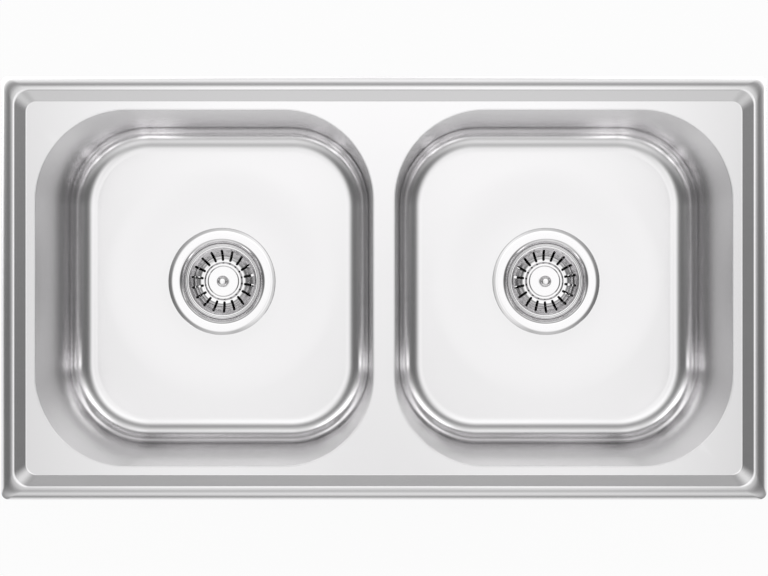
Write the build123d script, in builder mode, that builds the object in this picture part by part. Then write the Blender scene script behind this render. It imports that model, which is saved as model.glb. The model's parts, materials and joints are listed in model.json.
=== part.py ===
from build123d import *
from math import asin, atan2, cos, radians, sin, tan
import os

# An inset double bowl kitchen sink with strainer wastes and swing-out fixing claws.
# Millimetres. Z = 0 is the worktop, +Y is the back of the sink, +X its right.

os.makedirs("parts", exist_ok=True)

# ---- pressed deck ----
sink_length = 760.0
sink_width = 420.0
outer_corner = 7.0
sheet = 1.0
lip_height = 1.0
ridge_inset = 13.0
ridge_height = 6.0
ridge_corner = 15.0
ridge_land = 0.7
foot_inset = 24.5
foot_corner = 11.5
deck_height = 1.2
crown_steps = 4
cut_over = 1.0

# ---- bowls ----
end_margin = 34.0
side_margin = 33.5
divider = 22.0
bowl_corner = 90.0
bowl_depth = 150.0
bowl_draft = 2.5
bowl_bottom_round = 24.0
bowl_edge_round = 0.4
dish_margin = 8.0
dish_fall = 2.0
seat_margin = 3.0
waste_offset = 4.0
weld_gap = 0.02

# ---- foam strip under the rim ----
seal_inset = 2.5
seal_width = 7.5
seal_gap = 0.1
butt_gap = 0.3

# ---- damping pads under the bowls ----
pad_thickness = 3.0
pad_length = 210.0
pad_width = 46.0
pad_from_nut = 16.0

# ---- fixing rails, bolts, nuts and claws ----
rail_width = 12.0
rail_height = 8.0
rail_sheet = 1.0
rail_slot = 6.0
rail_inset = 25.5
clip_spacing = 240.0
rail_past_clip = 40.0
short_rail_length = 240.0
bolt_diameter = 5.0
bolt_head = 9.0
bolt_head_height = 3.0
bolt_past_nut = 1.8
bolt_chamfer = 0.6
nut_across_flats = 8.0
nut_height = 5.0
claw_width = 14.0
claw_reach = 22.0
claw_sheet = 2.0
claw_flange_height = 5.0
claw_flange_start = 6.0
claw_tip_height = 12.0
tooth_depth = 1.5
tooth_count = 4
worktop_thickest = 44.0
bolt_running_gap = 0.05
claw_running_gap = 0.08

# ---- strainer waste: the cup ----
flange_diameter = 118.0
cup_sheet = 1.2
flange_edge_round = 1.1
throat_diameter = 84.4
throat_round = 5.0
throat_foot_round = 2.4
ledge_depth = 8.0
ledge_round = 1.2
ledge_width = 4.6
cup_depth = 38.5
cup_floor_round = 4.0
spigot_diameter = 47.8
spigot_wall = 2.0
spigot_end = 62.0

# ---- strainer waste: what clamps it ----
flange_seal_thickness = 1.0
flange_seal_width = 9.0
under_washer_thickness = 3.0
friction_washer_thickness = 1.2
lock_nut_width = 17.2
lock_nut_height = 12.0
lock_nut_notches = 6
notch_width = 12.0
notch_depth = 5.0
thread_gap = 0.1
washer_gap = 1.0
bowl_hole_gap = 2.2

# ---- strainer waste: the basket and its stopper ----
basket_sheet = 0.8
basket_side_gap = 2.6
basket_rim_width = 2.4
basket_rim_turn = 1.5
basket_rim_round = 0.9
basket_play = 0.3
basket_depth = 12.5
basket_floor_diameter = 55.0
basket_floor_round = 2.0
boss_diameter = 41.0
boss_height = 3.2
boss_round = 0.45
slot_count = 18
slot_first = 8.0
slot_width = 2.2
slot_from_boss = 2.0
slot_up_wall = 7.5
slot_top_below_rim = 2.5
knob_disc_diameter = 35.0
knob_disc_thickness = 0.8
knob_diameter = 13.0
knob_neck_diameter = 8.0
knob_height = 12.0
stem_diameter = 6.0
stem_length = 9.0
stem_gap = 0.05
post_diameter = 12.0
stopper_diameter = 58.0
stopper_thickness = 4.0
stopper_bore = 8.1
stopper_lip = 1.0
stopper_gap = 0.05
cap_diameter = 18.0
cap_height = 4.0
cap_round = 1.5

# ---- worked out from the sizes above ----
bowl_length = (sink_length - 2 * end_margin - divider) / 2
bowl_width = sink_width - 2 * side_margin
bowl_centre = (divider + bowl_length) / 2
wall_run = bowl_depth * tan(radians(bowl_draft))
bottom_run = bowl_bottom_round * tan(radians(45 - bowl_draft / 2))
dish_radius = bowl_length / 2 - wall_run - bottom_run - dish_margin
seat_radius = flange_diameter / 2 + seat_margin
step_inset = ridge_inset + ridge_land
step_angle = atan2(ridge_height - deck_height, foot_inset - step_inset)
crown_rise = ridge_height - lip_height
crown_radius = (ridge_inset**2 + crown_rise**2) / (2 * crown_rise)
seat_height = deck_height - bowl_depth - dish_fall
flange_rise = cup_sheet + flange_seal_thickness
flange_height = seat_height + flange_rise
rail_top = deck_height - sheet
rail_y = sink_width / 2 - rail_inset
rail_x = sink_length / 2 - rail_inset
head_bottom = rail_top - rail_height + rail_sheet
claw_floor = -worktop_thickest - claw_tip_height
nut_floor = claw_floor - nut_height
bolt_end = nut_floor - bolt_past_nut
throat_radius = throat_diameter / 2
sleeve_radius = throat_radius + cup_sheet
cup_radius = throat_radius - ledge_width
lock_nut_radius = cup_radius + cup_sheet + lock_nut_width


def finish(piece, name):
    """Gives a piece its name and writes its file."""
    piece.part.label = name
    export_step(piece.part, "parts/" + name + ".step")


# ---------------------------------------------------------------- deck and seal


def rim_section(inset, corner, height):
    """A rounded rectangle, set in from the sink's edge, at a height."""
    with BuildSketch(Plane.XY.offset(height)) as section:
        RectangleRounded(sink_length - 2 * inset, sink_width - 2 * inset, corner)
    return section.sketch


def rim_form(skin):
    """All that lies under the deck's upper face, taken down by the thickness skin."""
    radius = crown_radius - skin
    start = asin((ridge_inset - skin) / radius)
    crown = []
    for step in range(crown_steps + 1):
        angle = start * (1 - step / crown_steps)
        inset = ridge_inset - radius * sin(angle)
        height = ridge_height - crown_radius + radius * cos(angle)
        corner = outer_corner + (ridge_corner - outer_corner) * inset / ridge_inset
        crown.append(rim_section(inset, corner, height))
    lip_top = ridge_height - crown_radius + radius * cos(start)
    ease = skin * tan(step_angle / 2)
    beyond = 1 + cut_over / (ridge_height - deck_height)
    brim = rim_section(
        foot_inset - ease - beyond * (foot_inset - step_inset),
        foot_corner + ease + beyond * (ridge_corner - ridge_land - foot_corner),
        ridge_height - skin + cut_over,
    )
    foot = rim_section(foot_inset - ease, foot_corner + ease, deck_height - skin)
    with BuildPart() as form:
        with BuildSketch(Plane.XY.offset(lip_top)):
            add(crown[0])
        extrude(amount=-lip_top - skin)
        loft(crown)
        loft([brim, foot], ruled=True, mode=Mode.SUBTRACT)
    return form.part


rim_top = rim_form(0)
rim_underside = rim_form(sheet)

with BuildPart() as deck:
    add(rim_top)
    add(rim_underside, mode=Mode.SUBTRACT)
    with BuildSketch(Plane.XY.offset(deck_height)):
        with Locations((-bowl_centre, 0), (bowl_centre, 0)):
            RectangleRounded(
                bowl_length + 2 * (sheet + weld_gap),
                bowl_width + 2 * (sheet + weld_gap),
                bowl_corner + sheet + weld_gap,
            )
    extrude(amount=-2 * sheet, mode=Mode.SUBTRACT)

finish(deck, "deck")

seal_ceiling = rim_form(sheet + seal_gap)

with BuildPart() as rim_seal:
    with BuildSketch():
        with Locations((0, -sink_width / 2 + seal_inset + seal_width / 2)):
            Rectangle(sink_length - 2 * (seal_inset + seal_width + butt_gap), seal_width)
        with Locations((-sink_length / 2 + seal_inset + seal_width / 2, 0)):
            Rectangle(seal_width, sink_width - 2 * seal_inset)
    extrude(amount=ridge_height)
    mirror(about=Plane.XZ)
    mirror(about=Plane.YZ)
    add(seal_ceiling, mode=Mode.INTERSECT)

finish(rim_seal, "rim_seal")


# ---------------------------------------------------------------- bowls and pads


def bowl_form(centre_x, grow):
    """The hollow of one bowl, grown outwards and downwards by the thickness grow."""
    with BuildPart() as form:
        with BuildSketch(Plane(origin=(centre_x, 0, deck_height))):
            RectangleRounded(bowl_length + 2 * grow, bowl_width + 2 * grow, bowl_corner + grow)
        extrude(amount=-(bowl_depth + grow), taper=bowl_draft)
        fillet(form.faces().sort_by(Axis.Z)[0].edges(), bowl_bottom_round + grow)
        with Locations((centre_x, waste_offset, deck_height - bowl_depth - grow)):
            Cone(
                bottom_radius=seat_radius,
                top_radius=dish_radius,
                height=dish_fall,
                align=(Align.CENTER, Align.CENTER, Align.MAX),
            )
    return form.part


def make_bowl(side, centre_x):
    """One pressed bowl with its waste hole, and the pads glued under its floor."""
    hollow = bowl_form(centre_x, 0)
    outside = bowl_form(centre_x, sheet)
    pad_outside = bowl_form(centre_x, sheet + pad_thickness)

    with BuildPart() as bowl:
        add(outside)
        add(hollow, mode=Mode.SUBTRACT)
        with Locations((centre_x, waste_offset, seat_height)):
            Hole(sleeve_radius + bowl_hole_gap)
        rim_face = bowl.faces().sort_by(Axis.Z)[-1]
        fillet(rim_face.inner_wires()[0].edges(), bowl_edge_round)
    finish(bowl, side + "_bowl")

    pad_centre = lock_nut_radius + pad_from_nut + pad_width / 2
    with BuildPart() as pads:
        with BuildSketch(Plane(origin=(centre_x, waste_offset, deck_height - bowl_depth))):
            with Locations((0, -pad_centre), (0, pad_centre)):
                Rectangle(pad_length, pad_width)
        extrude(amount=-(sheet + pad_thickness + dish_fall))
        add(pad_outside, mode=Mode.INTERSECT)
        add(outside, mode=Mode.SUBTRACT)
    finish(pads, side + "_sound_pads")


for side, centre_x in (("left", -bowl_centre), ("right", bowl_centre)):
    make_bowl(side, centre_x)


# ---------------------------------------------------------------- rails and clips


def make_rail(name, middle, along, length):
    """A lipped channel, open downwards, welded under the deck along one edge."""
    across = Vector(0, 0, 1).cross(along)
    with BuildPart() as rail:
        with BuildSketch(Plane(origin=middle, x_dir=across, z_dir=along)):
            with Locations((0, -rail_height / 2)):
                Rectangle(rail_width, rail_height)
                Rectangle(
                    rail_width - 2 * rail_sheet,
                    rail_height - 2 * rail_sheet,
                    mode=Mode.SUBTRACT,
                )
            with Locations((0, -rail_height)):
                Rectangle(rail_slot, 3 * rail_sheet, mode=Mode.SUBTRACT)
        extrude(amount=length / 2, both=True)
    finish(rail, name)


long_rail_length = 2 * (clip_spacing + rail_past_clip)
make_rail("front_rail", (0, -rail_y, rail_top), Vector(1, 0, 0), long_rail_length)
make_rail("back_rail", (0, rail_y, rail_top), Vector(1, 0, 0), long_rail_length)
make_rail("left_rail", (-rail_x, 0, rail_top), Vector(0, 1, 0), short_rail_length)
make_rail("right_rail", (rail_x, 0, rail_top), Vector(0, 1, 0), short_rail_length)

# Each clip's place, and the way its claw points while it is stowed along the rail.
clip_places = [
    (-clip_spacing, -rail_y, 0),
    (0, -rail_y, 0),
    (clip_spacing, -rail_y, 180),
    (rail_x, 0, 90),
    (clip_spacing, rail_y, 180),
    (0, rail_y, 180),
    (-clip_spacing, rail_y, 0),
    (-rail_x, 0, 90),
]
clip_points = [(x, y) for x, y, turn in clip_places]

with BuildPart() as clip_bolts:
    with BuildSketch(Plane.XY.offset(head_bottom)):
        with Locations(*clip_points):
            Rectangle(bolt_head, bolt_head)
    extrude(amount=bolt_head_height)
    with BuildSketch(Plane.XY.offset(head_bottom)):
        with Locations(*clip_points):
            Circle(bolt_diameter / 2)
    extrude(amount=bolt_end - head_bottom)
    chamfer(clip_bolts.edges().group_by(Axis.Z)[0], bolt_chamfer)

finish(clip_bolts, "clip_bolts")


def make_nut(name, x, y):
    """A hexagon nut under the claw, at the low end of its bolt."""
    with BuildPart() as nut:
        with BuildSketch(Plane(origin=(x, y, nut_floor))):
            RegularPolygon(nut_across_flats / 2, 6, major_radius=False)
            Circle(bolt_diameter / 2 + bolt_running_gap, mode=Mode.SUBTRACT)
        extrude(amount=nut_height)
    finish(nut, name)


def make_claw(name, x, y, turn):
    """A pressed claw with side flanges and a toothed tip turned up at its end."""
    floor = Plane(origin=(x, y, claw_floor)).rotated((0, 0, turn))
    tip_top = claw_floor + claw_tip_height
    pitch = claw_width / tooth_count
    tip_start = claw_reach - claw_sheet
    flange_length = claw_reach - claw_flange_start
    with BuildPart() as claw:
        with BuildSketch(floor):
            Circle(claw_width / 2)
            Rectangle(claw_reach, claw_width, align=(Align.MIN, Align.CENTER))
            Circle(bolt_diameter / 2 + claw_running_gap, mode=Mode.SUBTRACT)
        extrude(amount=claw_sheet)
        with BuildSketch(floor):
            with Locations((claw_flange_start, 0)):
                Rectangle(flange_length, claw_width, align=(Align.MIN, Align.CENTER))
                Rectangle(
                    flange_length,
                    claw_width - 2 * claw_sheet,
                    align=(Align.MIN, Align.CENTER),
                    mode=Mode.SUBTRACT,
                )
        extrude(amount=claw_flange_height)
        with BuildSketch(floor):
            with Locations((tip_start, 0)):
                Rectangle(claw_sheet, claw_width, align=(Align.MIN, Align.CENTER))
        extrude(amount=claw_tip_height)
        tooth_plane = Plane(
            origin=floor.from_local_coords((tip_start, 0, claw_tip_height)),
            x_dir=floor.y_dir,
            z_dir=floor.x_dir,
        )
        with BuildSketch(tooth_plane):
            with GridLocations(pitch, 0, tooth_count + 1, 1):
                with BuildLine():
                    Polyline((-pitch / 2, 0), (0, -tooth_depth), (pitch / 2, 0), close=True)
                make_face()
        extrude(amount=claw_sheet, mode=Mode.SUBTRACT)
    finish(claw, name)


for number, (x, y, turn) in enumerate(clip_places, start=1):
    make_nut("clip_" + str(number) + "_nut", x, y)
    make_claw("clip_" + str(number) + "_claw", x, y, turn)


# ---------------------------------------------------------------- strainer wastes


def ring(plane, outer, inner, bottom, top):
    """A flat ring about the waste's axis, between two heights."""
    with BuildPart() as piece:
        with BuildSketch(plane.offset(bottom)):
            Circle(outer)
            Circle(inner, mode=Mode.SUBTRACT)
        extrude(amount=top - bottom)
    return piece


def make_waste(side, centre_x):
    """The waste of one bowl: heights are measured from the flange's upper face."""
    level = Plane(origin=(centre_x, waste_offset, flange_height))
    profile = Plane(origin=level.origin, x_dir=(1, 0, 0), z_dir=(0, -1, 0))
    axis = Axis(level.origin, (0, 0, 1))

    half = cup_sheet / 2
    flange_radius = flange_diameter / 2
    spigot_radius = spigot_diameter / 2
    spigot_bore = spigot_radius - spigot_wall
    with BuildPart() as cup:
        with BuildSketch(profile):
            with BuildLine():
                FilletPolyline(
                    (flange_radius - half, -flange_rise),
                    (flange_radius - half, -half),
                    (throat_radius + half, -half),
                    (throat_radius + half, -ledge_depth - half),
                    (cup_radius + half, -ledge_depth - half),
                    (cup_radius + half, -cup_depth - half),
                    (spigot_bore + half, -cup_depth - half),
                    radius=[
                        flange_edge_round,
                        throat_round,
                        throat_foot_round,
                        ledge_round,
                        cup_floor_round,
                    ],
                )
            trace(line_width=cup_sheet)
            with Locations((spigot_bore, -cup_depth)):
                Rectangle(
                    spigot_wall,
                    spigot_end - cup_depth,
                    align=(Align.MIN, Align.MAX),
                )
        revolve(axis=axis)
    finish(cup, side + "_waste_cup")

    bowl_underside = -flange_rise - sheet
    washer_bottom = bowl_underside - under_washer_thickness
    friction_bottom = washer_bottom - friction_washer_thickness
    seal_outer = flange_radius - cup_sheet - washer_gap
    washer_bore = sleeve_radius + washer_gap
    flange_seal = ring(
        level,
        seal_outer,
        seal_outer - flange_seal_width,
        -flange_rise,
        -flange_rise + flange_seal_thickness,
    )
    finish(flange_seal, side + "_flange_seal")
    under_washer = ring(level, lock_nut_radius, washer_bore, washer_bottom, bowl_underside)
    finish(under_washer, side + "_under_washer")
    friction_washer = ring(level, lock_nut_radius, washer_bore, friction_bottom, washer_bottom)
    finish(friction_washer, side + "_friction_washer")

    recess_floor = -ledge_depth - cup_sheet - washer_gap
    with BuildPart() as lock_nut:
        with BuildSketch(level.offset(friction_bottom)):
            Circle(lock_nut_radius)
            Circle(cup_radius + cup_sheet + thread_gap, mode=Mode.SUBTRACT)
            with PolarLocations(lock_nut_radius, lock_nut_notches):
                Rectangle(2 * notch_depth, notch_width, mode=Mode.SUBTRACT)
        extrude(amount=-lock_nut_height)
        with BuildSketch(level.offset(recess_floor)):
            Circle(washer_bore)
        extrude(amount=friction_bottom - recess_floor, mode=Mode.SUBTRACT)
    finish(lock_nut, side + "_lock_nut")

    skin = basket_sheet / 2
    rim_radius = throat_radius - basket_side_gap
    rim_top = -ledge_depth + basket_play + basket_rim_turn
    floor_middle = rim_top - basket_depth
    boss_middle = floor_middle + boss_height
    stem_radius = stem_diameter / 2
    with BuildPart() as basket:
        with BuildSketch(profile):
            with BuildLine():
                FilletPolyline(
                    (rim_radius - skin, rim_top - basket_rim_turn),
                    (rim_radius - skin, rim_top - skin),
                    (rim_radius - basket_rim_width, rim_top - skin),
                    (basket_floor_diameter / 2, floor_middle),
                    (boss_diameter / 2 + 2 * skin, floor_middle),
                    (boss_diameter / 2 - skin, boss_middle),
                    (stem_radius + stem_gap, boss_middle),
                    radius=[
                        basket_rim_round,
                        basket_rim_round,
                        basket_floor_round,
                        boss_round,
                        boss_round,
                    ],
                )
            trace(line_width=basket_sheet)
        revolve(axis=axis)
        slot_start = boss_diameter / 2 + slot_from_boss
        slot_end = basket_floor_diameter / 2 + slot_up_wall
        with BuildSketch(level.offset(floor_middle - 2 * skin)):
            with PolarLocations((slot_start + slot_end) / 2, slot_count, start_angle=slot_first):
                Rectangle(slot_end - slot_start, slot_width)
        extrude(amount=basket_depth - slot_top_below_rim, mode=Mode.SUBTRACT)
    finish(basket, side + "_basket")

    boss_top = boss_middle + skin
    disc_top = boss_top + knob_disc_thickness
    knob_top = disc_top + knob_height
    stem_end = boss_top - stem_length
    ball = knob_diameter / 2
    neck = knob_neck_diameter / 2
    with BuildPart() as knob:
        with BuildSketch(profile):
            with BuildLine():
                Polyline(
                    (0, knob_top - ball),
                    (0, stem_end),
                    (stem_radius, stem_end),
                    (stem_radius, boss_top),
                    (knob_disc_diameter / 2, boss_top),
                    (knob_disc_diameter / 2, disc_top),
                    (neck, disc_top),
                    (neck, knob_top - ball),
                    close=True,
                )
            make_face()
            with Locations((0, knob_top - ball)):
                Circle(ball)
            with Locations((0, knob_top - ball)):
                Rectangle(
                    2 * ball, 4 * ball, align=(Align.MAX, Align.CENTER), mode=Mode.SUBTRACT
                )
        revolve(axis=axis)
    finish(knob, side + "_knob")

    post_top = boss_middle - skin
    stopper_bottom = -cup_depth
    stopper_top = stopper_bottom + stopper_thickness
    pin = stopper_bore / 2 - stopper_gap
    with BuildPart() as post:
        with BuildSketch(profile):
            with BuildLine():
                Polyline(
                    (stem_radius + stem_gap, post_top),
                    (stem_radius + stem_gap, stem_end - stem_gap),
                    (0, stem_end - stem_gap),
                    (0, stopper_bottom - cap_height / 2),
                    (pin, stopper_bottom - cap_height / 2),
                    (pin, stopper_top),
                    (post_diameter / 2, stopper_top),
                    (post_diameter / 2, post_top),
                    close=True,
                )
            make_face()
        revolve(axis=axis)
    finish(post, side + "_post")

    with BuildPart() as stopper:
        with BuildSketch(profile):
            with BuildLine():
                Polyline(
                    (stopper_bore / 2, stopper_bottom),
                    (stopper_diameter / 2 - stopper_lip, stopper_bottom),
                    (stopper_diameter / 2, stopper_bottom + stopper_lip),
                    (stopper_diameter / 2 - 2 * stopper_lip, stopper_top),
                    (stopper_bore / 2, stopper_top),
                    close=True,
                )
            make_face()
        revolve(axis=axis)
    finish(stopper, side + "_stopper")

    with BuildPart() as cap:
        with BuildSketch(level.offset(stopper_bottom)):
            Circle(cap_diameter / 2)
        extrude(amount=-cap_height)
        fillet(cap.faces().sort_by(Axis.Z)[0].edges(), cap_round)
        with BuildSketch(level.offset(stopper_bottom)):
            Circle(pin)
        extrude(amount=-cap_height / 2, mode=Mode.SUBTRACT)
    finish(cap, side + "_stopper_cap")


for side, centre_x in (("left", -bowl_centre), ("right", bowl_centre)):
    make_waste(side, centre_x)
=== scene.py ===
import json
from collections import Counter
from math import asin, cos, pi, radians, tan

import bpy
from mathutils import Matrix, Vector


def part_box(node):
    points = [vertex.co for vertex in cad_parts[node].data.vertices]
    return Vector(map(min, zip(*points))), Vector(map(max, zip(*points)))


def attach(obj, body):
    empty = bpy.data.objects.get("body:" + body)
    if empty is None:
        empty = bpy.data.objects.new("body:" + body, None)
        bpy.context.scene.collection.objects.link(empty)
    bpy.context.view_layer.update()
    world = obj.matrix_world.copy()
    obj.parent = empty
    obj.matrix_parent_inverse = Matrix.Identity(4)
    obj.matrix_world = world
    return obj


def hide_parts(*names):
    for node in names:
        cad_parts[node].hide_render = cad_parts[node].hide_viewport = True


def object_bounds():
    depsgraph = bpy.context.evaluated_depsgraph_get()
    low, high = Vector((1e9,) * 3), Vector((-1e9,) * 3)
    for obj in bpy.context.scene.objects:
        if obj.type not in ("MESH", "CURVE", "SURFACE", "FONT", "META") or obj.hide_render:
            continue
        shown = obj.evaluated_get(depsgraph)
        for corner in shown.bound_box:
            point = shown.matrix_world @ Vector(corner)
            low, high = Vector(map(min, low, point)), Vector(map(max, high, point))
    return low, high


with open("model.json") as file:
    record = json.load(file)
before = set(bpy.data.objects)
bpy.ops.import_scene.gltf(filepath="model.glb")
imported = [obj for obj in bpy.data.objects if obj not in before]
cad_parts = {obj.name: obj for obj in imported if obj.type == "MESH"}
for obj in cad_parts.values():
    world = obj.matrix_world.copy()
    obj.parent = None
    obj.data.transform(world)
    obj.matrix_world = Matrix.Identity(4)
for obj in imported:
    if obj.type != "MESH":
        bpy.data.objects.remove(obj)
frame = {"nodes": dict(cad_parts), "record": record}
cad_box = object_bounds()

# A double bowl kitchen sink, dressed for its picture. +Z up, +Y the back of the sink.
mm = 0.001

# ---- the pressed sheet ----
sheet = 1.0 * mm
outer_corner = 7.0 * mm
ridge_corner = 15.0 * mm
foot_corner = 11.5 * mm
lip_height = 1.0 * mm
lip_round = 0.5 * mm
crown_share = 0.93
ridge_inset = 13.0 * mm
ridge_land = 0.7 * mm
ridge_round = 5.0 * mm
foot_inset = 24.5 * mm
foot_round = 2.6 * mm
foot_margin = 2.0 * mm
deck_height = 1.2 * mm
weld_round = 0.35 * mm
weld_depth = 0.8 * mm
corner_steps = 18

# ---- the bowls ----
bowl_corner = 90.0 * mm
bowl_draft = radians(2.5)
bowl_edge_round = 0.6 * mm
bowl_bottom_round = 24.0 * mm
bowl_floor_margin = 1.0 * mm
dish_radius = 130.0 * mm
seat_radius = 62.0 * mm
dish_fall = 2.0 * mm
dish_steps = 10
waste_hole = 45.6 * mm

# ---- the wastes ----
cup_sheet = 1.2 * mm
flange_rise = 2.2 * mm
flange_edge_width = 4.0 * mm
flange_edge_fall = 0.8 * mm
flange_edge_round = 0.7 * mm
flange_crown_round = 12.0 * mm
throat_radius = 42.2 * mm
throat_round = 5.6 * mm
throat_foot_round = 2.6 * mm
ledge_depth = 8.0 * mm
ledge_round = 1.4 * mm
cup_radius = 37.6 * mm
cup_depth = 38.5 * mm
cup_floor_round = 3.4 * mm
spigot_wall = 2.0 * mm
spigot_radius = 23.9 * mm
spigot_round = 1.0 * mm
basket_sheet = 0.8 * mm
basket_rim_width = 2.4 * mm
basket_rim_turn = 1.5 * mm
basket_rim_round = 1.2 * mm
basket_shoulder_round = 1.6 * mm
basket_floor_radius = 27.5 * mm
basket_floor_round = 9.0 * mm
boss_radius = 20.5 * mm
boss_height = 3.2 * mm
boss_round = 0.8 * mm
boss_foot_round = 0.5 * mm
stem_radius = 3.0 * mm
stem_length = 9.0 * mm
stem_round = 0.4 * mm
slot_count = 18
slot_first = radians(8.0)
slot_width = 2.8 * mm
slot_start = 22.5 * mm
slot_end = 35.0 * mm
slot_top_below_rim = 2.5 * mm
slot_round_share = 0.49
cutter_overrun = 2.0 * mm
disc_thickness = 0.8 * mm
disc_edge = 0.2 * mm
disc_slope = 1.2 * mm
disc_round = 1.2 * mm
knob_radius = 6.5 * mm
knob_round = 4.2 * mm
knob_top_inset = 0.4 * mm
knob_top_round = 4.0 * mm
knob_height_share = 1.4
neck_radius = 4.0 * mm
neck_flare = 2.0 * mm
neck_flare_height = 1.2 * mm
neck_flare_round = 4.0 * mm
neck_round = 1.5 * mm

# ---- how far the edges of the hidden pieces are rounded ----
bolt_edge = 0.25 * mm
rail_edge = 0.3 * mm
clip_nut_edge = 0.3 * mm
claw_edge = 0.35 * mm
pad_edge = 0.5 * mm
washer_edge = 0.5 * mm
lock_nut_edge = 0.8 * mm

# ---- how fine the round pieces are ----
bowl_bottom_steps = 10
rim_steps = 8
round_steps = 6
basket_steps = 5
slot_end_steps = 5
hidden_edge_steps = 2
cup_turns = 144
knob_turns = 64

# ---- what counts as one place, as level, as flat, as smooth and as an edge ----
merge_distance = 0.001 * mm
level_tolerance = 0.01 * mm
flat_angle = radians(0.5)
smooth_angle = radians(35)
edge_angle = radians(40)

sides = ("left", "right")
clip_count = 8

deck_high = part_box("deck")[1]
half_length = deck_high.x
half_width = deck_high.y
ridge_height = deck_high.z


# ---------------------------------------------------------------- working by hand


def leave_editing():
    """Back to object mode with nothing selected."""
    if bpy.context.mode != "OBJECT":
        bpy.ops.object.mode_set(mode="OBJECT")
    bpy.ops.object.select_all(action="DESELECT")


def take(*pieces):
    """Selects some pieces and makes the first one active."""
    leave_editing()
    for piece in pieces:
        piece.select_set(True)
    bpy.context.view_layer.objects.active = pieces[0]


def edit(piece, kind, wanted=None):
    """Opens a piece with all of its vertices, edges or faces selected, or the wanted ones."""
    take(piece)
    bpy.ops.object.mode_set(mode="EDIT")
    kinds = ("VERT", "EDGE", "FACE")
    bpy.context.tool_settings.mesh_select_mode = [each == kind for each in kinds]
    bpy.ops.mesh.select_all(action="DESELECT" if wanted else "SELECT")
    if not wanted:
        return
    bpy.ops.object.mode_set(mode="OBJECT")
    mesh = piece.data
    for item in (mesh.vertices, mesh.edges, mesh.polygons)[kinds.index(kind)]:
        item.select = wanted(mesh, item)
    bpy.ops.object.mode_set(mode="EDIT")


def joined(pieces):
    """Several pieces made one, with the vertices that meet merged."""
    take(*pieces)
    bpy.ops.object.join()
    piece = bpy.context.active_object
    edit(piece, "VERT")
    bpy.ops.mesh.remove_doubles(threshold=merge_distance)
    leave_editing()
    return piece


def copied(piece):
    """A copy of a piece with a mesh of its own."""
    take(piece)
    bpy.ops.object.duplicate()
    return bpy.context.active_object


def discard(pieces):
    """Deletes pieces that were only needed on the way."""
    take(*pieces)
    bpy.ops.object.delete()


def outline(half_x, half_y, corner, height, centre):
    """A rectangle with rounded corners, as a loop of edges lying flat."""
    leave_editing()
    bpy.ops.mesh.primitive_plane_add(size=2, location=(centre.x, centre.y, height))
    loop = bpy.context.active_object
    loop.scale = (half_x, half_y, 1)
    bpy.ops.object.transform_apply(location=True, rotation=True, scale=True)
    edit(loop, "VERT")
    bpy.ops.mesh.bevel(offset=corner, segments=corner_steps, affect="VERTICES", profile=0.5)
    bpy.ops.mesh.delete(type="ONLY_FACE")
    leave_editing()
    return loop


def circle(radius, height, centre):
    """A circle as a loop of edges, with as many vertices as an outline has."""
    leave_editing()
    bpy.ops.mesh.primitive_circle_add(
        vertices=4 * (corner_steps + 1), radius=radius, location=(centre.x, centre.y, height)
    )
    loop = bpy.context.active_object
    bpy.ops.object.transform_apply(location=True, rotation=True, scale=True)
    return loop


def banded(loops):
    """One surface through a row of loops."""
    bands = []
    for outer, inner in zip(loops, loops[1:]):
        band = joined([copied(outer), copied(inner)])
        edit(band, "EDGE")
        bpy.ops.mesh.bridge_edge_loops()
        bands.append(band)
    discard(loops)
    return joined(bands)


def turn_up(piece):
    """Makes an open sheet's level faces look upwards, and the rest with them."""
    edit(piece, "FACE")
    bpy.ops.mesh.normals_make_consistent(inside=False)
    leave_editing()
    level = max(piece.data.polygons, key=lambda face: face.area * abs(face.normal.z))
    if level.normal.z < 0:
        edit(piece, "FACE")
        bpy.ops.mesh.flip_normals()
        leave_editing()


def finished(piece, kind, **settings):
    """A piece with one modifier added and applied."""
    take(piece)
    modifier = piece.modifiers.new(kind.title(), kind)
    for setting, value in settings.items():
        setattr(modifier, setting, value)
    bpy.ops.object.modifier_apply(modifier=modifier.name)
    return piece


def thickened(piece, thickness):
    """A sheet given its thickness behind the side that its faces look to."""
    return finished(piece, "SOLIDIFY", thickness=thickness, offset=-1, use_even_offset=True)


def smoothed(piece):
    """Smooth shading that keeps flat faces flat and sharp edges sharp."""
    take(piece)
    bpy.ops.object.shade_smooth_by_angle(angle=smooth_angle)
    return finished(piece, "WEIGHTED_NORMAL", keep_sharp=True)


def rounded(corners, steps=round_steps):
    """A section's points, from its corners as (across, up, radius): a radius gives an arc."""
    places = [Vector(corner[:2]) for corner in corners]
    section = [places[0]]
    for before, place, after, corner in zip(places, places[1:], places[2:], corners[1:]):
        radius = corner[2]
        if radius == 0:
            section.append(place)
            continue
        back = (before - place).normalized()
        on = (after - place).normalized()
        turn = pi - back.angle(on)
        start = place + radius * tan(turn / 2) * back
        end = place + radius * tan(turn / 2) * on
        for step in range(steps + 1):
            t = step / steps
            pull = (1 - t) ** 2, 2 * cos(turn / 2) * t * (1 - t), t * t
            section.append((start * pull[0] + place * pull[1] + end * pull[2]) / sum(pull))
    section.append(places[-1])
    return section


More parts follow.
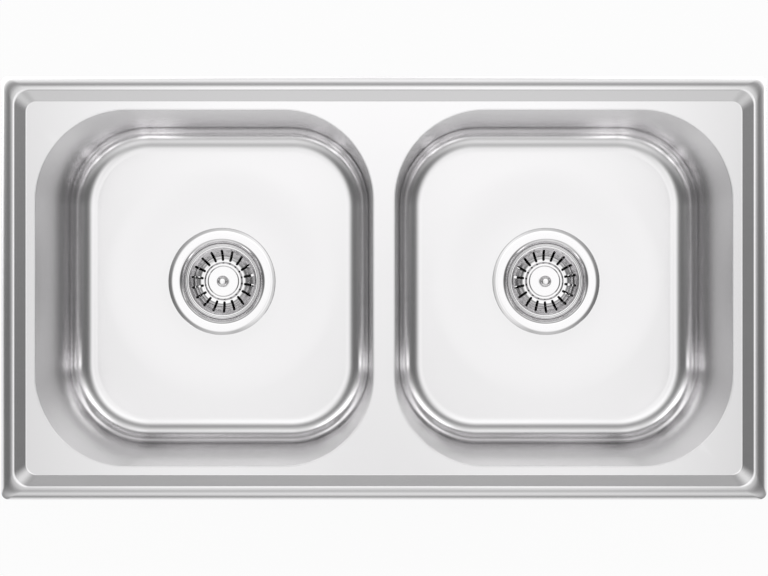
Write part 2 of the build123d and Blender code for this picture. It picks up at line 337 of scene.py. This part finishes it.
def turned(section, centre, steps):
    """A section spun round: points (radius, height) that end where they start or on the axis."""
    leave_editing()
    # a plane merged to one vertex, which is then drawn along the section
    bpy.ops.mesh.primitive_plane_add(size=mm)
    piece = bpy.context.active_object
    edit(piece, "VERT")
    bpy.ops.mesh.merge(type="CENTER")
    at = Vector((0, 0, 0))
    for number, (radius, height) in enumerate(section):
        place = centre + Vector((radius, 0, height))
        if number == 0:
            bpy.ops.transform.translate(value=place - at)
        else:
            bpy.ops.mesh.extrude_region_move(TRANSFORM_OT_translate={"value": place - at})
        at = place
    bpy.ops.mesh.select_all(action="SELECT")
    bpy.ops.mesh.remove_doubles(threshold=merge_distance)
    bpy.ops.mesh.spin(steps=steps, angle=2 * pi, center=centre, axis=(0, 0, 1))
    bpy.ops.mesh.select_all(action="SELECT")
    bpy.ops.mesh.remove_doubles(threshold=merge_distance)
    bpy.ops.mesh.normals_make_consistent(inside=False)
    leave_editing()
    return piece


# ---------------------------------------------------------------- finishes

smear_spacing = 60 * mm
smear_detail = 4.0
cloud_spacing = 25 * mm
brush_lines = (120 * mm, 0.5 * mm, 8 * mm)
polishing_marks = (1.2 * mm, 1.2 * mm, 0.3 * mm)
# how far an edge bends where its wear starts and where it is complete: 0.5 is flat
worn_from = 0.52
worn_fully = 0.62
# the darkest and the palest shade of a surface, as shares of its colour
steel_shades = (0.94, 1.0)
plain_shades = (0.82, 1.08)
# how much of its roughness a worn edge loses
steel_wear = 0.25
plain_wear = 0.2


class Value:
    """A number or colour that changes over a surface. Sums on it add Math nodes."""

    def __init__(self, tree, socket):
        self.tree = tree
        self.socket = socket

    def __add__(self, other):
        return self.tree.maths("ADD", self, other)

    __radd__ = __add__

    def __mul__(self, other):
        return self.tree.maths("MULTIPLY", self, other)

    __rmul__ = __mul__

    def __sub__(self, other):
        return self.tree.maths("SUBTRACT", self, other)

    def __rsub__(self, other):
        return self.tree.maths("SUBTRACT", other, self)

    def __truediv__(self, other):
        return self.tree.maths("DIVIDE", self, other)


class Tree:
    """The nodes of one material or of the world."""

    def __init__(self, owner):
        owner.use_nodes = True
        self.nodes = owner.node_tree.nodes
        self.links = owner.node_tree.links

    def feed(self, socket, value):
        """Links a changing value to a socket, or sets a plain one on it."""
        if isinstance(value, Value):
            self.links.new(value.socket, socket)
        else:
            socket.default_value = value

    def add(self, kind, settings, sockets, output=0):
        """Adds a node, sets it up, feeds its sockets and gives one of its outputs."""
        node = self.nodes.new(kind)
        for setting, value in settings.items():
            setattr(node, setting, value)
        for name, value in sockets.items():
            self.feed(node.inputs[name], value)
        return Value(self, node.outputs[output])

    def maths(self, operation, *values):
        """A Math node on one or more values."""
        sockets = dict(enumerate(values))
        return self.add("ShaderNodeMath", {"operation": operation}, sockets)

    def ease(self, value, start, end, low, high):
        """Goes smoothly from low to high while the value goes from start to end."""
        sockets = {
            "Value": value,
            "From Min": start,
            "From Max": end,
            "To Min": low,
            "To Max": high,
        }
        return self.add("ShaderNodeMapRange", {"interpolation_type": "SMOOTHSTEP"}, sockets)

    def blend(self, factor, first, second):
        """A colour between two colours."""
        factor_socket, first_socket, second_socket, colour_output = 0, 6, 7, 2
        sockets = {factor_socket: factor, first_socket: first, second_socket: second}
        return self.add("ShaderNodeMix", {"data_type": "RGBA"}, sockets, colour_output)


class Finish(Tree):
    """One finish: a material with its own constant values."""

    def __init__(self, name, constants):
        self.material = bpy.data.materials.new(name)
        super().__init__(self.material)
        self.shader = self.nodes["Principled BSDF"]
        for socket, value in constants.items():
            self.shader.inputs[socket].default_value = value
        self.place = self.add("ShaderNodeTexCoord", {}, {}, "Object")

    def noise(self, spacing, detail=3.0):
        """Noise between 0 and 1 with one spacing along each axis."""
        scale = [1 / each for each in spacing]
        stretched = self.add("ShaderNodeMapping", {}, {"Vector": self.place, "Scale": scale})
        return self.add(
            "ShaderNodeTexNoise", {}, {"Vector": stretched, "Scale": 1.0, "Detail": detail}
        )

    def worn(self):
        """1 along outer edges, which handling rubs smooth, and 0 on flat and hollow places."""
        bend = self.add("ShaderNodeNewGeometry", {}, {}, "Pointiness")
        return self.ease(bend, worn_from, worn_fully, 0.0, 1.0)

    def paint(self, socket, value):
        """Feeds a socket of the material's shader."""
        self.feed(self.shader.inputs[socket], value)

    def relief(self, height, depth):
        """Raises the surface by a height that runs from 0 to 1."""
        sockets = {"Height": height, "Distance": depth, "Strength": 1.0}
        self.paint("Normal", self.add("ShaderNodeBump", {}, sockets))


def shade(colour, share):
    """A darker or paler shade of a colour, as Blender takes it."""
    return (*[min(1, share * part) for part in colour], 1)


# In both recipes the last factor of the roughness is 1 where the noises are at their middle.


def steel(name, colour, roughness, lines, depth):
    """Stainless steel: fine lines along the axis with the long spacing, and faint smears."""
    finish = Finish(name, {"Metallic": 1.0})
    line = finish.noise(lines)
    smear = finish.noise((smear_spacing, smear_spacing, smear_spacing), smear_detail)
    deep, pale = [shade(colour, share) for share in steel_shades]
    finish.paint("Base Color", finish.blend(line * 0.5 + smear * 0.5, deep, pale))
    rubbed = 1 - steel_wear * finish.worn()
    finish.paint("Roughness", roughness * rubbed * (0.8 + 0.25 * line + 0.15 * smear))
    finish.relief(line, depth)
    return finish.material


def plain(name, colour, roughness, grain, depth, metallic=0.0):
    """Rubber, foam, fibre, plastic or plating: an even grain with slight changes of colour."""
    finish = Finish(name, {"Metallic": metallic})
    speck = finish.noise((grain, grain, grain))
    cloud = finish.noise((cloud_spacing, cloud_spacing, cloud_spacing))
    deep, pale = [shade(colour, share) for share in plain_shades]
    worn = finish.worn()
    finish.paint("Base Color", finish.blend(speck * 0.4 + cloud * 0.4 + worn * 0.2, deep, pale))
    rubbed = 1 - plain_wear * worn
    finish.paint("Roughness", roughness * rubbed * (0.75 + 0.3 * cloud + 0.2 * speck))
    finish.relief(speck, depth)
    return finish.material


def make_finishes():
    """Every finish, by the name of its slot in the record."""
    satin = (0.835, 0.828, 0.835)
    polish = (0.86, 0.853, 0.86)
    lathe = (0.76, 0.76, 0.77)
    mill = (0.66, 0.66, 0.67)
    return {
        "sink_steel": steel("satin steel", satin, 0.2, brush_lines, 0.002 * mm),
        "polished_steel": steel("polished steel", polish, 0.06, polishing_marks, 0.0002 * mm),
        "turned_steel": steel("turned steel", lathe, 0.22, polishing_marks, 0.002 * mm),
        "rail_steel": steel("mill steel", mill, 0.34, brush_lines, 0.003 * mm),
        "zinc_steel": plain("zinc plate", (0.62, 0.63, 0.65), 0.36, 0.8 * mm, 0.01 * mm, 1.0),
        "damping_pad": plain("bitumen sheet", (0.045, 0.045, 0.05), 0.75, 1.1 * mm, 0.08 * mm),
        "foam": plain("cell foam", (0.035, 0.035, 0.038), 0.9, 0.6 * mm, 0.12 * mm),
        "black_rubber": plain("moulded rubber", (0.018, 0.018, 0.018), 0.5, 0.7 * mm, 0.01 * mm),
        "fibre": plain("fibre board", (0.32, 0.2, 0.11), 0.8, 0.5 * mm, 0.05 * mm),
        "nut_plastic": plain("nut plastic", (0.78, 0.78, 0.75), 0.42, 0.9 * mm, 0.01 * mm),
    }


finishes = make_finishes()
slot_of = {row["node"]: row["material_slot"] for row in frame["record"]["subparts"]}


def paint_nodes():
    """The CAD nodes take the finishes of their slots."""
    for name, node in frame["nodes"].items():
        node.data.materials.clear()
        node.data.materials.append(finishes[slot_of[name]])


def placed(piece, name, body, nodes, slot):
    """Names a piece, paints it, sets it on its body and lets it stand for CAD nodes."""
    piece.name = name
    piece.data.name = name
    piece.data.materials.clear()
    piece.data.materials.append(finishes[slot])
    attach(piece, body)
    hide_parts(*nodes)


# ---------------------------------------------------------------- the deck

middle = Vector((0, 0, 0))


def corner_at(inset):
    """The corner radius of the deck's outline, set in from its edge."""
    if inset < ridge_inset:
        return outer_corner + (ridge_corner - outer_corner) * inset / ridge_inset
    if inset < foot_inset:
        share = (inset - ridge_inset) / (foot_inset - ridge_inset)
        return ridge_corner + (foot_corner - ridge_corner) * share
    return foot_corner - (inset - foot_inset)


def deck_section():
    """From the lip's lower edge over the crown, down the step and onto the flat."""
    rise = ridge_height - lip_height
    crown_radius = (ridge_inset**2 + rise**2) / (2 * rise)
    crown_start = asin(ridge_inset / crown_radius)
    crown_corner = ridge_inset - crown_radius * tan(crown_start / 2)
    return rounded(
        [
            (0, 0, 0),
            (0, lip_height, lip_round),
            (crown_corner, ridge_height, crown_share * crown_radius),
            (ridge_inset + ridge_land, ridge_height, ridge_round),
            (foot_inset, deck_height, foot_round),
            (foot_inset + foot_margin, deck_height, 0),
        ],
        steps=rim_steps,
    )


def bowl_centre(side):
    """The middle of a bowl's opening, at height 0."""
    low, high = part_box(side + "_bowl")
    return Vector(((low.x + high.x) / 2, (low.y + high.y) / 2, 0))


def bowl_half(side):
    """Half the length and width of a bowl's opening."""
    low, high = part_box(side + "_bowl")
    return (high.x - low.x) / 2 - sheet, (high.y - low.y) / 2 - sheet


def make_deck():
    """One pressed sheet: rim, step and flat, with a rounded hem round each bowl."""
    loops = [
        outline(half_length - inset, half_width - inset, corner_at(inset), height, middle)
        for inset, height in deck_section()
    ]
    surfaces = [banded(loops)]
    for side in sides:
        half_x, half_y = bowl_half(side)
        hem = rounded(
            [
                (sheet, deck_height - weld_depth, 0),
                (sheet, deck_height, weld_round),
                (sheet + 2 * weld_round, deck_height, 0),
            ]
        )
        loops = [
            outline(half_x + out, half_y + out, bowl_corner + out, height, bowl_centre(side))
            for out, height in hem
        ]
        surfaces.append(banded(loops))
    deck = joined(surfaces)
    faces_at = Counter(key for face in deck.data.polygons for key in face.edge_keys)

    def open_and_level(mesh, edge):
        """The edges that bound the flat of the deck."""
        ends = [mesh.vertices[number].co.z for number in edge.vertices]
        level = max(abs(height - deck_height) for height in ends) < level_tolerance
        return level and faces_at[edge.key] == 1

    edit(deck, "EDGE", open_and_level)
    bpy.ops.mesh.fill()
    leave_editing()
    turn_up(deck)
    thickened(deck, sheet)
    smoothed(deck)
    placed(deck, "deck_sheet", "sink", ["deck"], "sink_steel")


# ---------------------------------------------------------------- the bowls


def make_bowl(side):
    """A pressed bowl, from its edge in the deck down to the hole for the waste."""
    half_x, half_y = bowl_half(side)
    low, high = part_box(side + "_bowl")
    floor = low.z + sheet + dish_fall
    depth = deck_height - floor
    foot = depth * tan(bowl_draft)
    section = rounded(
        [
            (-sheet, deck_height, 0),
            (0, deck_height, bowl_edge_round),
            (foot, floor, bowl_bottom_round),
            (foot + bowl_bottom_round + bowl_floor_margin, floor, 0),
        ],
        steps=bowl_bottom_steps,
    )
    centre = bowl_centre(side)
    loops = [
        outline(half_x - inset, half_y - inset, bowl_corner - inset, height, centre)
        for inset, height in section
    ]
    cup_low, cup_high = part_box(side + "_waste_cup")
    waste = (cup_low + cup_high) / 2
    for step in range(dish_steps + 1):
        share = step / dish_steps
        radius = dish_radius + (seat_radius - dish_radius) * share
        loops.append(circle(radius, floor - dish_fall * share * share * (3 - 2 * share), waste))
    loops.append(circle(waste_hole, floor - dish_fall, waste))
    bowl = banded(loops)
    turn_up(bowl)
    thickened(bowl, sheet)
    smoothed(bowl)
    placed(bowl, side + "_bowl_shell", "sink", [side + "_bowl"], "sink_steel")


# ---------------------------------------------------------------- the wastes


def cup_section(flange_radius, length):
    """The flange, the throat, the ledge, the cup and its spigot, all the way round the metal."""
    under = cup_sheet
    edge = flange_radius - flange_edge_width
    return rounded(
        [
            (flange_radius - under, -flange_rise, 0),
            (flange_radius, -flange_rise, 0),
            (flange_radius, -flange_edge_fall, flange_edge_round),
            (edge, 0, flange_crown_round),
            (throat_radius, 0, throat_round),
            (throat_radius, -ledge_depth, throat_foot_round),
            (cup_radius, -ledge_depth, ledge_round),
            (cup_radius, -cup_depth, cup_floor_round),
            (spigot_radius - spigot_wall, -cup_depth, spigot_round),
            (spigot_radius - spigot_wall, -length, 0),
            (spigot_radius, -length, 0.3 * spigot_round),
            (spigot_radius, -cup_depth - under, 0.5 * under),
            (cup_radius + under, -cup_depth - under, cup_floor_round + under),
            (cup_radius + under, -ledge_depth - under, 0.5 * under),
            (throat_radius + under, -ledge_depth - under, 2.5 * under),
            (throat_radius + under, -under, throat_round - under),
            (flange_radius - under, -under, 0.25 * under),
            (flange_radius - under, -flange_rise, 0),
        ]
    )


def basket_section(rim_radius, rim_top, floor_top):
    """The basket's sheet: rim, sloping wall, floor, boss, and back along its underside."""
    skin = basket_sheet
    lip = rim_top - basket_rim_turn
    wall = rim_radius - basket_rim_width
    boss_top = floor_top + boss_height
    return rounded(
        [
            (rim_radius - skin, lip, 0),
            (rim_radius, lip, 0),
            (rim_radius, rim_top, basket_rim_round),
            (wall, rim_top, basket_shoulder_round),
            (basket_floor_radius, floor_top, basket_floor_round),
            (boss_radius + skin, floor_top, boss_foot_round),
            (boss_radius - skin, boss_top, boss_round),
            (stem_radius, boss_top, 0),
            (stem_radius, boss_top - skin, 0),
            (boss_radius - 1.6 * skin, boss_top - skin, boss_round - 0.625 * skin),
            (boss_radius + 0.4 * skin, floor_top - skin, boss_foot_round + 0.375 * skin),
            (basket_floor_radius + 0.5 * skin, floor_top - skin, basket_floor_round + 0.75 * skin),
            (wall + 0.5 * skin, rim_top - skin, basket_shoulder_round - 1.25 * skin),
            (rim_radius - skin, rim_top - skin, basket_rim_round - skin),
            (rim_radius - skin, lip, 0),
        ],
        steps=basket_steps,
    )


def slot_cutters(centre, low, high):
    """A ring of upright bars with round ends, as wide as the basket's slots."""
    reach = (slot_start + slot_end) / 2
    leave_editing()
    bpy.ops.mesh.primitive_cube_add(
        size=1, location=centre + Vector((reach, 0, (low + high) / 2))
    )
    bar = bpy.context.active_object
    bar.scale = (slot_end - slot_start, slot_width, high - low)
    bpy.ops.object.transform_apply(location=True, rotation=True, scale=True)

    def upright(mesh, edge):
        """The bar's four long edges."""
        start, end = [mesh.vertices[number].co for number in edge.vertices]
        return abs(start.z - end.z) > slot_width

    edit(bar, "EDGE", upright)
    round_end = slot_round_share * slot_width
    bpy.ops.mesh.bevel(offset=round_end, segments=slot_end_steps, affect="EDGES")
    bars = []
    for number in range(slot_count):
        bars.append(copied(bar))
        bpy.ops.transform.rotate(
            value=slot_first + 2 * pi * number / slot_count,
            orient_axis="Z",
            center_override=centre,
        )
        bpy.ops.object.transform_apply(location=True, rotation=True, scale=True)
    discard([bar])
    return joined(bars)


def knob_section(disc_radius, bottom, top):
    """Half the outline of the knob: stem, disc with a raised edge, neck and head."""
    disc_top = bottom + disc_thickness
    return rounded(
        [
            (0, bottom - stem_length, 0),
            (stem_radius, bottom - stem_length, stem_round),
            (stem_radius, bottom, 0),
            (disc_radius, bottom, 0),
            (disc_radius, bottom + disc_edge, 0),
            (disc_radius - disc_slope, disc_top, disc_round),
            (neck_radius + neck_flare, disc_top, neck_flare_round),
            (neck_radius, disc_top + neck_flare_height, neck_round),
            (neck_radius, top - knob_height_share * knob_radius, neck_round),
            (knob_radius, top - knob_radius, knob_round),
            (knob_radius - knob_top_inset, top, knob_top_round),
            (0, top, 0),
        ]
    )


def make_waste(side):
    """The cup with its flange, the slotted basket and the knob of one bowl."""
    low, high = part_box(side + "_waste_cup")
    centre = Vector(((low.x + high.x) / 2, (low.y + high.y) / 2, high.z))
    flange_radius = (high.x - low.x) / 2

    cup = turned(cup_section(flange_radius, high.z - low.z), centre, steps=cup_turns)
    smoothed(cup)
    placed(cup, side + "_cup", "sink", [side + "_waste_cup"], "polished_steel")

    basket_low, basket_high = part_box(side + "_basket")
    rim_radius = (basket_high.x - basket_low.x) / 2
    rim_top = basket_high.z - centre.z
    floor_top = basket_low.z - centre.z + basket_sheet
    basket = turned(basket_section(rim_radius, rim_top, floor_top), centre, steps=cup_turns)
    slot_top = rim_top - slot_top_below_rim
    cutters = slot_cutters(centre, floor_top - cutter_overrun, slot_top)
    finished(basket, "BOOLEAN", operation="DIFFERENCE", object=cutters, solver="EXACT")
    discard([cutters])
    smoothed(basket)
    body = side + "_basket"
    placed(basket, side + "_strainer", body, [side + "_basket"], "polished_steel")

    knob_low, knob_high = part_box(side + "_knob")
    disc_radius = (knob_high.x - knob_low.x) / 2
    boss_top = floor_top + boss_height
    section = knob_section(disc_radius, boss_top, knob_high.z - centre.z)
    knob = turned(section, centre, steps=knob_turns)
    smoothed(knob)
    placed(knob, side + "_grip", body, [side + "_knob"], "polished_steel")


# ---------------------------------------------------------------- below the deck


def softened(node_name, body, width):
    """A hidden piece with its sharp edges rounded over, in place of its CAD node."""
    leave_editing()
    mesh = frame["nodes"][node_name].data.copy()
    piece = bpy.data.objects.new(node_name + "_part", mesh)
    bpy.context.scene.collection.objects.link(piece)
    edit(piece, "VERT")
    bpy.ops.mesh.remove_doubles(threshold=merge_distance)
    bpy.ops.mesh.dissolve_limited(angle_limit=flat_angle)
    leave_editing()
    finished(
        piece,
        "BEVEL",
        width=width,
        segments=hidden_edge_steps,
        limit_method="ANGLE",
        angle_limit=edge_angle,
    )
    smoothed(piece)
    placed(piece, node_name + "_part", body, [node_name], slot_of[node_name])


def dress_hidden_pieces():
    """Rails, bolts, nuts, claws, pads and the parts that clamp the wastes."""
    for rail in ("front_rail", "back_rail", "left_rail", "right_rail"):
        softened(rail, "sink", rail_edge)
    softened("clip_bolts", "sink", bolt_edge)
    for number in range(1, clip_count + 1):
        nut = "clip_%d_nut" % number
        claw = "clip_%d_claw" % number
        softened(nut, nut, clip_nut_edge)
        softened(claw, claw, claw_edge)
    for side in sides:
        softened(side + "_sound_pads", "sink", pad_edge)
        softened(side + "_under_washer", "sink", washer_edge)
        softened(side + "_lock_nut", "sink", lock_nut_edge)


# ---------------------------------------------------------------- the studio

floor_size = 8.0
floor_drop = 0.5 * mm
floor_whiteness = 0.94
floor_paper = (0.85, 0.85, 0.85, 1)
floor_roughness = 0.9
white_light = (1, 1, 1, 1)

# angles from straight up, in degrees: to the side, and towards the back (+) or front (-)
lamps = (
    {"side": 8, "back": -10, "length": 13, "width": 16, "strength": 0.95},
    {"side": 4, "back": 13, "length": 18, "width": 13, "strength": 1.1},
    {"side": 0, "back": -50, "length": 60, "width": 18, "strength": 0.8},
    {"side": 0, "back": 62, "length": 41, "width": 20, "strength": 1.0},
    {"side": 69, "back": 63, "length": 26, "width": 32, "strength": 2.6},
)
room_light = 0.15
horizon_light = 0.85
horizon_low = 0.05
horizon_high = 0.3


def pave_floor():
    """A pale floor under the sink: white to the camera and in the metal, with a faint shadow."""
    leave_editing()
    height = cad_box[0].z - floor_drop
    bpy.ops.mesh.primitive_plane_add(size=floor_size, location=(0, 0, height))
    floor = bpy.context.active_object
    bpy.ops.object.transform_apply(location=True, rotation=True, scale=True)
    floor.name = "studio_floor"
    paper = bpy.data.materials.new("white paper")
    floor.data.materials.append(paper)
    tree = Tree(paper)
    shader = tree.nodes["Principled BSDF"]
    shader.inputs["Base Color"].default_value = floor_paper
    shader.inputs["Roughness"].default_value = floor_roughness
    white = tree.add("ShaderNodeEmission", {}, {"Color": white_light, "Strength": 1.0})
    camera, glossy, transmission = [
        tree.add("ShaderNodeLightPath", {}, {}, "Is %s Ray" % kind)
        for kind in ("Camera", "Glossy", "Transmission")
    ]
    shown = floor_whiteness * (camera + glossy + transmission)
    sockets = {0: shown, 1: Value(tree, shader.outputs[0]), 2: white}
    mixed = tree.add("ShaderNodeMixShader", {}, sockets)
    tree.feed(tree.nodes["Material Output"].inputs["Surface"], mixed)


def light_room():
    """A dim room with a pale horizon and large soft lamps, the same on the left and the right."""
    world = bpy.data.worlds.new("studio light")
    bpy.context.scene.world = world
    tree = Tree(world)
    direction = tree.add("ShaderNodeTexCoord", {}, {}, "Generated")
    across, back, up = [
        tree.add("ShaderNodeSeparateXYZ", {}, {"Vector": direction}, axis) for axis in "XYZ"
    ]
    to_side = tree.maths("ARCTAN2", tree.maths("ABSOLUTE", across), up) * (180 / pi)
    to_back = tree.maths("ARCTAN2", back, up) * (180 / pi)
    light = room_light + tree.ease(up, horizon_low, horizon_high, horizon_light, 0.0)
    for lamp in lamps:
        beside = (to_side - lamp["side"]) / lamp["length"]
        behind = (to_back - lamp["back"]) / lamp["width"]
        glow = tree.maths("EXPONENT", 0 - beside * beside - behind * behind)
        light = light + lamp["strength"] * glow
    tree.feed(tree.nodes["Background"].inputs["Strength"], light)
    tree.nodes["Background"].inputs["Color"].default_value = white_light


def set_camera():
    """Straight above the sink, a little behind its middle, with the frame shifted to centre it."""
    height = 1376 * mm
    behind = 30 * mm
    seen_length = 763 * mm
    data = bpy.data.cameras.new("overhead camera")
    data.sensor_width = 36
    data.lens = data.sensor_width * height / seen_length
    data.shift_y = -behind / seen_length
    data.clip_start = 0.05
    data.clip_end = 50
    camera = bpy.data.objects.new("overhead camera", data)
    camera.location = (0, behind, height)
    bpy.context.scene.collection.objects.link(camera)
    bpy.context.scene.camera = camera


paint_nodes()
make_deck()
for side in sides:
    make_bowl(side)
    make_waste(side)
dress_hidden_pieces()
pave_floor()
light_room()
set_camera()
bpy.context.scene.view_settings.view_transform = "Standard"
